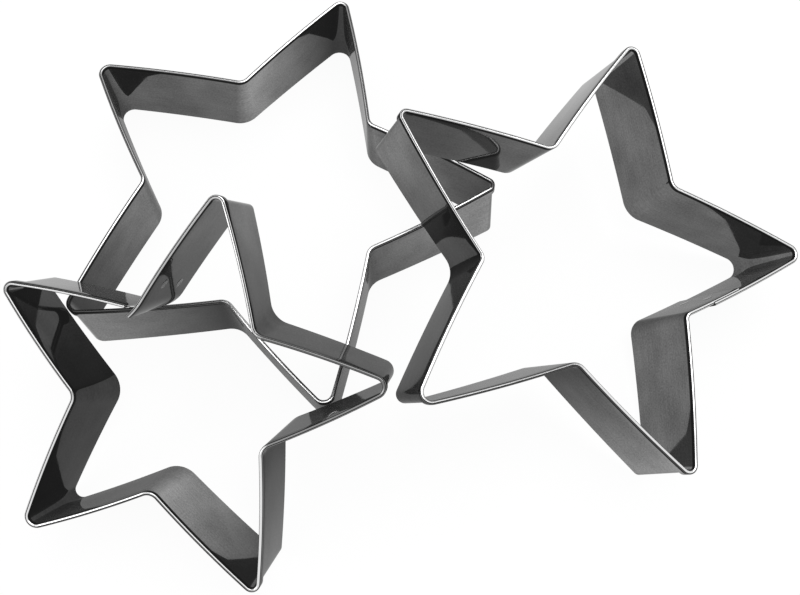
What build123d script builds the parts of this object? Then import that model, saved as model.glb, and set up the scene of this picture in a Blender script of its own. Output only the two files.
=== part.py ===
import os
from dataclasses import dataclass
from math import asin, cos, degrees, radians, sin, tan

from build123d import *

# Three star cookie cutters bent from hemmed stainless strip, as they lie together.
# The large one stands on its cutting edge. The small and the medium one each stand on two
# tips of their cutting edge and lean on the rim of the large one, with tips of the large
# one reaching up into them. Millimetres, +Z up. While the cutters are built, the centre of
# the large star is the origin and its first tip points along +Y. At the end everything is
# moved sideways, so that the origin is under the middle of the whole set.
# Corners are numbered clockwise from the first tip: even ones are tips, odd ones inner ones.

# Strip that all three cutters are bent from
strip_height = 22.0
sheet_thickness = 0.35
hem_depth = 2.4
hem_stand = 0.55
hem_seat_share = 0.5
lap_gap = 0.06
hem_notch = 0.6

# Bends and bows: each side bulges outward by its bow, and corners are rounded less at the
# rim, where the hem stiffens the strip, than at the cutting edge
rim_tip_round = 1.9
rim_inner_round = 3.2
edge_tip_round = 3.2
edge_inner_round = 6.0
rim_bow = 0.5
edge_bow = 0.35

# How far the bends differ from that: share of the rounding at each corner
large_rim_round_shares = (0.8, 1, 0.6, 1, 1, 1, 1, 1, 1, 1)
large_edge_round_shares = (1, 1, 0.6, 1, 1, 1, 1, 1, 0.9, 1)
medium_rim_round_shares = (0.75, 1, 0.9, 0.6, 0.72, 1, 1, 0.7, 0.55, 1)
medium_edge_round_shares = (0.6, 1, 0.9, 0.7, 0.5, 1, 0.6, 1, 0.45, 0.7)
small_rim_round_shares = (0.68, 1, 0.9, 1, 0.65, 1, 0.9, 1, 0.62, 1)
small_edge_round_shares = (0.44, 1, 0.75, 1, 0.32, 1, 0.6, 1, 0.4, 1)

# Spot welds that close each strip
weld_diameter = 2.4
weld_proud = 0.05
weld_height_shares = (0.3, 0.7)

# Overall size of each star: its centre to a tip
large_tip_radius = 56.0
medium_tip_radius = 53.5
small_tip_radius = 44.5

# Corners as the bent strips really lie, a little uneven: distance from the centre as a share
# of the tip radius, and clockwise turn from the first tip's direction in degrees
large_rim_shares = (1.01, 0.52, 0.98, 0.52, 1.025, 0.55, 1.0, 0.535, 0.99, 0.52)
large_rim_turns = (-1.0, 35.0, 71.0, 106.0, 146.0, 177.5, 216.0, 253.5, 288.0, 326.0)
large_edge_shares = (1.04, 0.535, 1.03, 0.53, 1.01, 0.54, 1.035, 0.54, 1.015, 0.55)
large_edge_turns = (-1.5, 33.5, 72.0, 107.0, 145.5, 177.5, 216.5, 254.5, 288.5, 323.0)
medium_rim_shares = (1.0, 0.49, 1.025, 0.48, 1.015, 0.48, 1.035, 0.505, 1.015, 0.465)
medium_rim_turns = (-0.5, 36.5, 73.0, 108.5, 143.0, 179.0, 216.5, 249.5, 288.0, 323.5)
medium_edge_shares = (1.02, 0.49, 1.04, 0.44, 1.035, 0.445, 1.01, 0.49, 1.03, 0.5)
medium_edge_turns = (-1.0, 37.5, 71.5, 108.5, 143.0, 181.0, 217.5, 253.5, 288.0, 322.0)
small_rim_shares = (1.0, 0.475, 1.035, 0.455, 1.015, 0.465, 1.015, 0.485, 0.985, 0.455)
small_rim_turns = (-1.5, 37.5, 71.5, 106.0, 144.5, 182.5, 215.5, 256.0, 288.5, 321.5)
small_edge_shares = (0.98, 0.47, 1.055, 0.465, 1.01, 0.475, 1.04, 0.45, 1.01, 0.42)
small_edge_turns = (0.0, 34.0, 72.5, 104.5, 144.0, 183.0, 214.0, 248.5, 287.0, 320.5)

# Where each strip is closed: on the side from its last corner to its first one. The outer
# layer starts there, the strip runs once round, and the inner layer ends under the outer one.
# Distances are along that side from its inner corner. On the small cutter the outer layer is a
# tab below the hem, and the inner layer keeps its hem and curls a little way round the corner.
large_outer_end = 8.0
large_inner_end = 15.3
medium_outer_end = 8.3
medium_inner_end = 15.6
small_outer_end = 9.0
small_weld_distance = 6.6
small_tail_length = 4.2
tail_rim_curl_share = 0.25
tail_edge_curl_share = 0.5
tab_drop = 0.3

# How the leaning cutters lie: the way their two floor tips line up, and where their cutting
# edge crosses the rim of the large star, as shares of the two sides that cross
small_heading = 3.7
small_own_share = 0.284
small_carrier_share = 0.803
medium_heading = 79.8
medium_own_share = 0.612
medium_carrier_share = 0.6
rest_gap = 0.55

corner_count = 10
lap_step = sheet_thickness + lap_gap
weld_length = lap_step + sheet_thickness + 2 * weld_proud
hem_level = strip_height - hem_depth


@dataclass(frozen=True)
class Outline:
    """Virtual corners of a star at one height, with its roundings and its bow."""

    corners: tuple
    rounds: tuple
    bow: float
    curl_share: float


@dataclass(frozen=True)
class Route:
    """Way round the star that a strip takes, and where its two ends lie.

    A strip with a tail ends in that curl instead of at a distance on its closing side.
    """

    first: int
    step: int
    inner_corner: int
    outer_end: float
    inner_end: float
    weld_distance: float
    tail_length: float


@dataclass(frozen=True)
class Cutter:
    """One star cutter: its outlines, its strip's route and the plane of its cutting edge."""

    edge: Outline
    rim: Outline
    route: Route
    plane: Plane


@dataclass(frozen=True)
class Knot:
    """Point of a strip's path with its direction of travel."""

    point: Vector
    direction: Vector


def corner_points(tip_radius, distance_shares, turns):
    """Virtual corners of a star outline, clockwise seen from above."""
    return tuple(
        Vector(tip_radius * share * sin(radians(turn)), tip_radius * share * cos(radians(turn)))
        for share, turn in zip(distance_shares, turns)
    )


def corner_rounds(tip_round, inner_round, round_shares):
    """Radii at the corners of an outline."""
    return tuple(
        share * (inner_round if number % 2 else tip_round)
        for number, share in enumerate(round_shares)
    )


def rim_outline(tip_radius, distance_shares, turns, round_shares):
    """Outline of the folded rim."""
    corners = corner_points(tip_radius, distance_shares, turns)
    rounds = corner_rounds(rim_tip_round, rim_inner_round, round_shares)
    return Outline(corners, rounds, rim_bow, tail_rim_curl_share)


def edge_outline(tip_radius, distance_shares, turns, round_shares):
    """Outline of the cutting edge."""
    corners = corner_points(tip_radius, distance_shares, turns)
    rounds = corner_rounds(edge_tip_round, edge_inner_round, round_shares)
    return Outline(corners, rounds, edge_bow, tail_edge_curl_share)


def outward(direction, route):
    """Outward normal of a path that travels in a direction."""
    return Vector(-direction.Y, direction.X) * route.step


def side_knot(start, end, distance, bow, route):
    """Knot on a bowed side, a distance from its start corner."""
    chord = end - start
    share = distance / chord.length
    along = chord.normalized()
    across = outward(along, route)
    point = start + chord * share + across * (4 * bow * share * (1 - share))
    slope = 4 * bow * (1 - 2 * share) / chord.length
    return Knot(point, (along + across * slope).normalized())


def bend_knots(before, corner, after, number, outline, route):
    """Knots where the bend at a corner begins and ends."""
    turn = radians((corner - before).get_angle(after - corner))
    reach = outline.rounds[number % corner_count] * tan(turn / 2)
    length = (corner - before).length
    begin = side_knot(before, corner, length - reach, outline.bow, route)
    end = side_knot(corner, after, reach, outline.bow, route)
    return begin, end


def last_corner(route):
    """Corner that the strip turns last before its inner end."""
    return (route.first - route.step) % corner_count


def closing_distance(outline, route, distance):
    """Distance from the last corner to a place given from the closing side's inner corner."""
    if route.inner_corner == last_corner(route):
        return distance
    side = outline.corners[route.first] - outline.corners[last_corner(route)]
    return side.length - distance


def curled_knot(start, turn, length):
    """Knot at the end of an arc that leaves a knot and turns by an angle."""
    reach = length * sin(radians(turn) / 2) / (radians(turn) / 2)
    point = start.point + start.direction.rotate(Axis.Z, turn / 2) * reach
    return Knot(point, start.direction.rotate(Axis.Z, turn))


def path_knots(outline, route, inner_end):
    """Knots of the strip's outer face once round, from its outer end to its inner end."""
    corners = [
        outline.corners[(route.first + route.step * turn) % corner_count]
        for turn in range(corner_count)
    ]
    first, last = corners[0], corners[-1]
    closing = (first - last).normalized()
    inward = -outward(closing, route)
    travel = (last - corners[-2]).normalized()
    shifted_last = last + travel * (lap_step / travel.dot(inward))
    shifted_first = first + inward * lap_step
    outer_end = closing_distance(outline, route, route.outer_end)
    knots = [side_knot(last, first, outer_end, outline.bow, route)]
    stops = [last] + corners[:-1] + [shifted_last, shifted_first]
    for turn in range(corner_count):
        before, corner, after = stops[turn : turn + 3]
        number = route.first + route.step * turn
        knots.extend(bend_knots(before, corner, after, number, outline, route))
    if route.tail_length:
        after = corners[1] - first + shifted_first
        begin, _ = bend_knots(shifted_last, shifted_first, after, route.first, outline, route)
        turn = closing.get_signed_angle(corners[1] - first, Vector(0, 0, 1))
        return knots + [begin, curled_knot(begin, turn * outline.curl_share, route.tail_length)]
    end_distance = closing_distance(outline, route, inner_end)
    return knots + [side_knot(shifted_last, shifted_first, end_distance, outline.bow, route)]


def path_points(knots, offset, route):
    """Points of the arcs through the knots, moved outward: ends and middles in turn."""
    points = [knots[0].point + outward(knots[0].direction, route) * offset]
    for start, end in zip(knots, knots[1:]):
        chord = end.point - start.point
        along = chord.normalized()
        turn = start.direction.get_signed_angle(end.direction, Vector(0, 0, 1))
        bulge = chord.length / 2 * tan(radians(turn) / 4)
        middle = start.point + chord / 2 + Vector(along.Y, -along.X) * bulge
        points.append(middle + outward(along, route) * offset)
        points.append(end.point + outward(end.direction, route) * offset)
    return points


def level_points(cutter, height, offset, first_knot, inner_end):
    """Points of one face of the strip at a height above the cutting edge, from a knot on."""
    share = height / strip_height
    edge_knots = path_knots(cutter.edge, cutter.route, inner_end)[first_knot:]
    rim_knots = path_knots(cutter.rim, cutter.route, inner_end)[first_knot:]
    edge_points = path_points(edge_knots, offset, cutter.route)
    rim_points = path_points(rim_knots, offset, cutter.route)
    return [low + (high - low) * share for low, high in zip(edge_points, rim_points)]


def tip_arc(outline, route, tip):
    """Centre and radius of the arc that rounds a tip."""
    before = outline.corners[(tip - route.step) % corner_count]
    after = outline.corners[(tip + route.step) % corner_count]
    begin, end = bend_knots(before, outline.corners[tip], after, tip, outline, route)
    turn = radians(begin.direction.get_angle(end.direction))
    radius = (end.point - begin.point).length / (2 * sin(turn / 2))
    return begin.point - outward(begin.direction, route) * radius, radius


def leaning_plane(
    edge, route, heading, floor_tips, own_side, own_share, carrier_side, carrier_share
):
    """Plane of the cutting edge of a star that stands on two tips and leans on the large rim."""
    (near, near_radius), (far, far_radius) = (tip_arc(edge, route, tip) for tip in floor_tips)
    spread = far - near
    along = spread.normalized().rotate(Axis.Z, degrees(asin((near_radius - far_radius) / spread.length)))
    upslope = Vector(-along.Y, along.X)
    floor_line = near - upslope * near_radius
    start, end = (edge.corners[corner] for corner in own_side)
    own_contact = start + (end - start) * own_share
    start, end = (large_rim.corners[corner] for corner in carrier_side)
    contact = start + (end - start) * carrier_share + Vector(0, 0, strip_height + rest_gap)
    tilt = asin((strip_height + rest_gap) / (own_contact - floor_line).dot(upslope))
    level = Vector(cos(radians(heading)), sin(radians(heading)), 0)
    across = Vector(-level.Y, level.X, 0)
    rising = across * cos(tilt) + Vector(0, 0, sin(tilt))
    x_direction = level * along.X + rising * upslope.X
    y_direction = level * along.Y + rising * upslope.Y
    origin = contact - x_direction * own_contact.X - y_direction * own_contact.Y
    return Plane(origin=origin, x_dir=x_direction, z_dir=level.cross(rising))


def draw_section(cutter, height, outer_offset, inner_offset, first_knot, inner_end):
    """Face between two offsets of the strip's path, at a height above the cutting edge."""
    outer = level_points(cutter, height, outer_offset, first_knot, inner_end)
    inner = level_points(cutter, height, inner_offset, first_knot, inner_end)
    with BuildSketch(cutter.plane.offset(height)) as section:
        with BuildLine():
            for face in (outer, inner):
                for index in range(0, len(face) - 1, 2):
                    ThreePointArc(face[index], face[index + 1], face[index + 2])
            Line(outer[0], inner[0])
            Line(outer[-1], inner[-1])
        make_face()
    return section.sketch


def weld_plane(cutter, height_share):
    """Plane of a spot weld on the outer face of the closing side, facing outward."""
    route = cutter.route
    feet = []
    for outline in (cutter.edge, cutter.rim):
        last = outline.corners[last_corner(route)]
        first = outline.corners[route.first]
        distance = closing_distance(outline, route, route.weld_distance)
        feet.append(side_knot(last, first, distance, outline.bow, route))
    rise = feet[1].point - feet[0].point + Vector(0, 0, strip_height)
    place = feet[0].point + rise * height_share
    facing = outward(feet[0].direction, route)
    normal = (facing - rise * (facing.dot(rise) / rise.dot(rise))).normalized()
    local = Plane(origin=place, x_dir=feet[0].direction, z_dir=normal)
    return Plane(cutter.plane.location * local.location)


def weld_planes(cutter):
    """Planes of the spot welds of a cutter, from the lowest up."""
    return [weld_plane(cutter, share) for share in weld_height_shares]


def draw_weld(plane):
    """Outline of a spot weld, a little proud of the outer layer."""
    with BuildSketch(plane.offset(weld_proud)) as spot:
        Circle(weld_diameter / 2)
    return spot.sketch


def make_strip(cutter):
    """Strip of one cutter: a wall once round with a lap, and the hem folded to its outside."""
    route = cutter.route
    if route.inner_corner == last_corner(route):
        hem_end = route.outer_end - hem_notch
    else:
        hem_end = route.outer_end + hem_notch
    # An outer tab reaches to the end of the first bend, and lies below the hem
    upper_knot = 2 if route.tail_length else 0
    middle_level = hem_level - tab_drop if route.tail_length else hem_level
    with BuildPart() as strip:
        lower_wall = [
            draw_section(cutter, height, 0, -sheet_thickness, 0, route.inner_end)
            for height in (0, middle_level)
        ]
        loft(lower_wall, ruled=True)
        upper_wall = [
            draw_section(cutter, height, 0, -sheet_thickness, upper_knot, route.inner_end)
            for height in (middle_level, strip_height)
        ]
        loft(upper_wall, ruled=True)
        seat = -sheet_thickness * hem_seat_share
        hem = [
            draw_section(cutter, height, hem_stand, seat, upper_knot, hem_end)
            for height in (hem_level, strip_height)
        ]
        loft(hem, ruled=True)
        for plane in weld_planes(cutter):
            extrude(draw_weld(plane), amount=-weld_length, mode=Mode.SUBTRACT)
    return strip


def make_weld(plane):
    """One spot weld of a cutter."""
    with BuildPart() as weld:
        extrude(draw_weld(plane), amount=-weld_length)
    return weld


# Large cutter, flat on its cutting edge
large_edge = edge_outline(
    large_tip_radius, large_edge_shares, large_edge_turns, large_edge_round_shares
)
large_rim = rim_outline(
    large_tip_radius, large_rim_shares, large_rim_turns, large_rim_round_shares
)
large_weld_distance = (large_outer_end + large_inner_end) / 2
large_route = Route(2, 1, 1, large_outer_end, large_inner_end, large_weld_distance, 0)
large = Cutter(large_edge, large_rim, large_route, Plane.XY)

# Medium cutter, leaning on the right side of the large one
medium_edge = edge_outline(
    medium_tip_radius, medium_edge_shares, medium_edge_turns, medium_edge_round_shares
)
medium_rim = rim_outline(
    medium_tip_radius, medium_rim_shares, medium_rim_turns, medium_rim_round_shares
)
medium_weld_distance = (medium_outer_end + medium_inner_end) / 2
medium_route = Route(2, -1, 3, medium_outer_end, medium_inner_end, medium_weld_distance, 0)
medium_plane = leaning_plane(
    medium_edge,
    medium_route,
    medium_heading,
    (4, 2),
    (8, 7),
    medium_own_share,
    (2, 3),
    medium_carrier_share,
)
medium = Cutter(medium_edge, medium_rim, medium_route, medium_plane)

# Small cutter, leaning on the front of the large one
small_edge = edge_outline(
    small_tip_radius, small_edge_shares, small_edge_turns, small_edge_round_shares
)
small_rim = rim_outline(
    small_tip_radius, small_rim_shares, small_rim_turns, small_rim_round_shares
)
small_route = Route(9, -1, 9, small_outer_end, 0, small_weld_distance, small_tail_length)
small_plane = leaning_plane(
    small_edge,
    small_route,
    small_heading,
    (6, 4),
    (8, 9),
    small_own_share,
    (7, 6),
    small_carrier_share,
)
small = Cutter(small_edge, small_rim, small_route, small_plane)

# Every piece under its own name
pieces = {}
for name, cutter in (("large", large), ("medium", medium), ("small", small)):
    pieces[f"{name}_strip"] = make_strip(cutter)
    for number, plane in enumerate(weld_planes(cutter), start=1):
        pieces[f"{name}_weld_{number}"] = make_weld(plane)

# Origin under the middle of the whole set
bounds = Compound([piece.part for piece in pieces.values()]).bounding_box()
middle = bounds.center()
centring = Location((-middle.X, -middle.Y, 0))

os.makedirs("parts", exist_ok=True)
for name, piece in pieces.items():
    placed = piece.part.moved(centring)
    placed.label = name
    export_step(placed, f"parts/{name}.step")

print("moved sideways by", round(-middle.X, 4), round(-middle.Y, 4))
print("size", bounds.size)
for name, cutter in (("medium", medium), ("small", small)):
    print(name, "axis", cutter.plane.z_dir, "origin", cutter.plane.origin - Vector(middle.X, middle.Y))
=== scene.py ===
"""Three star cookie cutters bent from hemmed, polished steel strip, dressed on their CAD frame.

The large star stands on its cutting edge. The medium and the small one lean on its rim. Each
strip is swept along its star by Geometry Nodes, with its folded rim, its lap and its welds.
"""

import logging
from dataclasses import dataclass
from enum import Enum
from math import asin, atan2, cos, pi, radians, sin, tan

import bmesh
import bpy
from mathutils import Matrix, Vector


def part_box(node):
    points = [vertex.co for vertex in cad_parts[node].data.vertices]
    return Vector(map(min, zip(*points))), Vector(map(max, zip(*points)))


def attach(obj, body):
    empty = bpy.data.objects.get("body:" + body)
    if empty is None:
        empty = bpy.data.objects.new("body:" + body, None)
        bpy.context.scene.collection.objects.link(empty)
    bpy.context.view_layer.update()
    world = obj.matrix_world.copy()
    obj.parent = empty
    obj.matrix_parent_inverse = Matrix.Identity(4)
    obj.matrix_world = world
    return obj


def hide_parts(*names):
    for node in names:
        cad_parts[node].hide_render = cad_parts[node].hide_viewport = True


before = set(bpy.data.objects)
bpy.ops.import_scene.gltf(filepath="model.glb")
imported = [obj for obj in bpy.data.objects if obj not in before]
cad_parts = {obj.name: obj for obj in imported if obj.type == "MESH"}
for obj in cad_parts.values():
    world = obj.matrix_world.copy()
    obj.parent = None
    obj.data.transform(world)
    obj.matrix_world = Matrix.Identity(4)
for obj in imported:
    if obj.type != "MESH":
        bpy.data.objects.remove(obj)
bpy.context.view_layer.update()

log = logging.getLogger("cutters")

Pair = tuple[float, float]
Triple = tuple[float, float, float]
Colour = tuple[float, float, float, float]
Numbers = tuple[float, ...]
Corners = tuple[int, int]

UP = Vector((0.0, 0.0, 1.0))
CORNER_COUNT = 10

# Steps that each stretch of a strip's path is divided into
SIDE_STEPS = 26
BEND_STEPS = 12
FLAP_STEPS = 6

# Levels and steps that the section across the strip is divided into
WALL_STEPS = 8
FOLD_STEPS = 12

# Places around that section: inner wall, hem's face and outer wall, with the fold between
# the first two
AROUND_INNER = -1.0
AROUND_HEM = 1.0
AROUND_OUTER = 2.0

# Smallest turn that a path counts as a bend, and smallest angle that keeps an edge sharp
LEAST_TURN = 1e-6
SHARP_ANGLE = radians(35)


class Corner(Enum):
    """Kinds of corner of a star, which take turns from the first tip on."""

    TIP = 0
    INNER = 1


@dataclass(frozen=True)
class Bending:
    """Usual radii at tips and inner corners, bow of the sides, and share that a tail curls."""

    tip_round: float
    inner_round: float
    bow: float
    curl: float


@dataclass(frozen=True)
class StripStock:
    """Hemmed strip that all three cutters are bent from, in metres."""

    height: float = 0.022
    sheet: float = 0.00035
    hem_depth: float = 0.0024
    hem_stand: float = 0.00055
    fold_height: float = 0.0004
    lap_gap: float = 0.00006
    hem_notch: float = 0.0006
    notch_cut: float = 0.00004
    edge_bevel: float = 0.00005
    merge_distance: float = 0.000001
    rim: Bending = Bending(tip_round=0.0019, inner_round=0.0032, bow=0.0005, curl=0.25)
    edge: Bending = Bending(tip_round=0.0032, inner_round=0.006, bow=0.00035, curl=0.5)
    tab_drop: float = 0.0003
    rest_gap: float = 0.00055

    @property
    def lap_step(self) -> float:
        """Distance between the outer faces of the two layers of a lap."""
        return self.sheet + self.lap_gap

    @property
    def hem_level(self) -> float:
        """Height of the lower edge of the folded hem."""
        return self.height - self.hem_depth

    @property
    def tab_top(self) -> float:
        """Height of an end of the strip that has no hem and lies below the other end's hem."""
        return self.hem_level - self.tab_drop


@dataclass(frozen=True)
class Knot:
    """Point of a path with its direction of travel."""

    point: Vector
    direction: Vector

    def curled(self, turn: float, length: float) -> "Knot":
        """Knot at the end of an arc that leaves this one.

        Args:
            turn: Angle that the arc turns by, to the left.
            length: Length of the arc.

        Returns:
            The knot that the arc reaches.
        """
        reach = length * sin(turn / 2) / (turn / 2)
        point = self.point + Matrix.Rotation(turn / 2, 3, "Z") @ self.direction * reach
        return Knot(point, Matrix.Rotation(turn, 3, "Z") @ self.direction)


@dataclass(frozen=True)
class Outline:
    """Virtual corners of a star at one height, with its roundings, its bow and its tail's curl."""

    corners: tuple[Vector, ...]
    rounds: Numbers
    bow: float
    curl: float


@dataclass(frozen=True)
class Route:
    """Way round the star that a strip takes, and where its two ends and its welds lie.

    Its step is 1 clockwise and -1 the other way, and its ends and welds are distances from the
    inner corner of the side that it closes on. A strip with a tail ends in that curl instead. Its
    hem runs to the tail's end, and its outer end is a tab below the hem.
    """

    first: int
    step: int
    inner_corner: int
    outer_end: float
    inner_end: float
    weld_distance: float
    tail: float = 0.0

    @property
    def last(self) -> int:
        """Corner that the strip turns last before its inner end."""
        return (self.first - self.step) % CORNER_COUNT

    def outward(self, direction: Vector) -> Vector:
        """Outward normal of a path that travels in a direction."""
        return Vector((-direction.y, direction.x, 0.0)) * self.step

    def hem_end(self, stock: StripStock) -> float:
        """Distance from the inner corner at which the hem is cut away for the lap."""
        notch = -stock.hem_notch if self.inner_corner == self.last else stock.hem_notch
        return self.outer_end + notch

    def closing_distance(self, outline: Outline, distance: float) -> float:
        """Distance from the last corner to a place given from the inner corner.

        Args:
            outline: Outline whose closing side is measured.
            distance: Distance along that side from its inner corner.

        Returns:
            The distance from the corner that the strip turns last.
        """
        if self.inner_corner == self.last:
            return distance
        side = outline.corners[self.first] - outline.corners[self.last]
        return side.length - distance


@dataclass(frozen=True)
class Ring:
    """Corners of one star as bent, at one height, clockwise seen from above.

    Each corner has its share of the tip radius, its clockwise turn in degrees, and the share of
    the usual rounding that it is bent to.
    """

    shares: Numbers
    turns: Numbers
    rounds: Numbers

    def outline(self, tip_radius: float, bending: Bending) -> Outline:
        """Outline through these corners.

        Args:
            tip_radius: Distance from the middle that the shares are taken of.
            bending: How the strip is bent at this height.

        Returns:
            The outline, in the star's own plane.
        """
        corners = tuple(
            Vector((sin(radians(turn)), cos(radians(turn)), 0.0)) * tip_radius * share
            for share, turn in zip(self.shares, self.turns)
        )
        usual = {Corner.TIP: bending.tip_round, Corner.INNER: bending.inner_round}
        rounds = tuple(
            share * usual[Corner(number % 2)] for number, share in enumerate(self.rounds)
        )
        return Outline(corners, rounds, bending.bow, bending.curl)


@dataclass(frozen=True)
class StarForm:
    """One star as bent: its size, its rim and its cutting edge."""

    tip_radius: float
    rim_ring: Ring
    edge_ring: Ring

    def rim(self, stock: StripStock) -> Outline:
        """Outline of the folded rim."""
        return self.rim_ring.outline(self.tip_radius, stock.rim)

    def edge(self, stock: StripStock) -> Outline:
        """Outline of the cutting edge."""
        return self.edge_ring.outline(self.tip_radius, stock.edge)


class PaintedShading(Enum):
    """Painted light and shade of a face of polished steel, as a share of the plain finish."""

    DARK = 0.3
    DIM = 0.5
    PLAIN = 1.0
    LIGHT = 1.5
    BRIGHT = 2.3


class PaintedMirrorShade(Enum):
    """How much of the mirror a side keeps where painted shade dims its reflection."""

    THICK = 0.35
    THIN = 0.6
    NONE = 1.0


class Line(Enum):
    """How bright a painted highlight along the fold is."""

    FAINT = 0.15
    SOFT = 0.35
    CLEAR = 0.65
    FULL = 1.0


class HighlightReach(Enum):
    """How far over the fold the painted highlight reaches, from -1 at the inner wall to 1 at the
    hem.
    """

    NARROW = 0.0
    WIDE = 0.35


@dataclass(frozen=True)
class Side:
    """How one side of a strip is finished, from one corner clockwise to the next.

    Its faces carry painted light and shade, its mirror painted shade, and its fold painted
    highlights. What changes along the side is given at its two ends, and fades evenly between
    them.
    """

    # Painted light and shade of the faces at the side's two ends
    faces: tuple[PaintedShading, PaintedShading] = (PaintedShading.PLAIN, PaintedShading.PLAIN)
    # Painted shade that dims the mirror at the side's two ends
    mirror_shade: tuple[PaintedMirrorShade, PaintedMirrorShade] = (PaintedMirrorShade.NONE, PaintedMirrorShade.NONE)
    # Painted highlights along the fold: the crown's at both ends, the ridge's, and how far the
    # crown's reaches
    crown: tuple[Line, Line] = (Line.FULL, Line.FULL)
    ridge: Line = Line.SOFT
    reach: HighlightReach = HighlightReach.NARROW


@dataclass(frozen=True)
class Shine:
    """Finish and painted light and shade of a strip, side by side, clockwise from the first tip.
    """

    sides: tuple[Side, ...]

    def named(self) -> dict[str, tuple[Numbers, ...]]:
        """Numbers at both ends of each side, under the names that the mesh carries them by."""
        finishes = {
            "face_tone": [side.faces for side in self.sides],
            "bare_share": [side.mirror_shade for side in self.sides],
            "crown_tone": [side.crown for side in self.sides],
            "ridge_tone": [(side.ridge, side.ridge) for side in self.sides],
            "crown_reach": [(side.reach, side.reach) for side in self.sides],
        }
        return {
            name: tuple((first.value, second.value) for first, second in ends)
            for name, ends in finishes.items()
        }


@dataclass(frozen=True)
class StripPath:
    """Path of a strip's outer face at one level, once round its star."""

    outline: Outline
    route: Route
    stock: StripStock

    def side_knot(self, start: Vector, end: Vector, distance: float) -> Knot:
        """Knot on a bowed side.

        Args:
            start: Corner that the distance is taken from.
            end: Other corner of the side.
            distance: Distance along the chord.

        Returns:
            The point on the bowed side, and its direction.
        """
        chord = end - start
        share = distance / chord.length
        along = chord.normalized()
        across = self.route.outward(along)
        bow = self.outline.bow
        point = start + chord * share + across * (4 * bow * share * (1 - share))
        slope = 4 * bow * (1 - 2 * share) / chord.length
        return Knot(point, (along + across * slope).normalized())

    def bend(self, before: Vector, corner: Vector, after: Vector, number: int) -> list[Knot]:
        """Knots where the bend at a corner begins and ends.

        Args:
            before: Corner before it.
            corner: The corner itself.
            after: Corner after it.
            number: Number of the corner, which says if it is a tip.

        Returns:
            The two knots in order of travel.
        """
        turn = (corner - before).angle(after - corner)
        reach = self.outline.rounds[number % CORNER_COUNT] * tan(turn / 2)
        length = (corner - before).length
        return [
            self.side_knot(before, corner, length - reach),
            self.side_knot(corner, after, reach),
        ]

    def knots(self) -> list[Knot]:
        """Knots from the outer end, round every bend, to the end of the flap or of the tail."""
        route = self.route
        corners = [
            self.outline.corners[(route.first + route.step * turn) % CORNER_COUNT]
            for turn in range(CORNER_COUNT)
        ]
        first, last = corners[0], corners[-1]
        closing = (first - last).normalized()
        inward = -route.outward(closing)
        travel = (last - corners[-2]).normalized()
        shifted_last = last + travel * (self.stock.lap_step / travel.dot(inward))
        shifted_first = first + inward * self.stock.lap_step
        outer_end = route.closing_distance(self.outline, route.outer_end)
        knots = [self.side_knot(last, first, outer_end)]
        stops = [last] + corners[:-1] + [shifted_last, shifted_first]
        for turn in range(CORNER_COUNT):
            number = route.first + route.step * turn
            knots.extend(self.bend(stops[turn], stops[turn + 1], stops[turn + 2], number))
        if route.tail:
            after = corners[1] - first + shifted_first
            begin = self.bend(shifted_last, shifted_first, after, route.first)[0]
            turn = turn_between(closing, corners[1] - first)
            return knots + [begin, begin.curled(turn * self.outline.curl, route.tail)]
        for end in (route.hem_end(self.stock), route.inner_end):
            distance = route.closing_distance(self.outline, end)
            knots.append(self.side_knot(shifted_last, shifted_first, distance))
        return knots

    def steps(self) -> list[int]:
        """Steps that each stretch from one knot to the next is divided into."""
        last = BEND_STEPS if self.route.tail else FLAP_STEPS
        return [SIDE_STEPS, BEND_STEPS] * CORNER_COUNT + [SIDE_STEPS, last]

    def notch(self) -> int:
        """Number of the point where the hem begins after a tab, or ends before a flap."""
        return SIDE_STEPS + BEND_STEPS if self.route.tail else sum(self.steps()[:-1])

    def points(self) -> list[Vector]:
        """Points along the arcs through the knots, with the same steps at every level."""
        knots = self.knots()
        points = [knots[0].point]
        for start, end, steps in zip(knots, knots[1:], self.steps()):
            points.extend(arc_points(start, end, steps))
        return points

    def spread(self, sides: tuple[Numbers, ...]) -> list[float]:
        """One number for each point, from the numbers at the two ends of every side.

        Args:
            sides: The numbers of each side, clockwise from the first tip.

        Returns:
            Numbers that run evenly along each side and round each bend.
        """
        route = self.route
        numbers = []
        for turn in range(CORNER_COUNT + 1):
            corner = (route.first + route.step * turn) % CORNER_COUNT
            stops = sides[corner - 1] if route.step == 1 else sides[corner][::-1]
            numbers.extend(ramp(numbers[-1], stops[0], BEND_STEPS) if numbers else stops[:1])
            numbers.extend(ramp(*stops, SIDE_STEPS))
        return numbers + numbers[-1:] * self.steps()[-1]

    def tip_arc(self, tip: int) -> tuple[Vector, float]:
        """Centre and radius of the arc that rounds a tip."""
        corners = self.outline.corners
        before = corners[(tip - self.route.step) % CORNER_COUNT]
        after = corners[(tip + self.route.step) % CORNER_COUNT]
        begin, end = self.bend(before, corners[tip], after, tip)
        turn = begin.direction.angle(end.direction)
        radius = (end.point - begin.point).length / (2 * sin(turn / 2))
        return begin.point - self.route.outward(begin.direction) * radius, radius


def ramp(start: float, end: float, steps: int) -> list[float]:
    """Numbers at even steps from one number to another, after the first one."""
    return [start + (end - start) * step / steps for step in range(1, steps + 1)]


def turn_between(before: Vector, after: Vector) -> float:
    """Angle from one level direction to another, to the left."""
    return atan2(before.x * after.y - before.y * after.x, before.dot(after))


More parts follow.
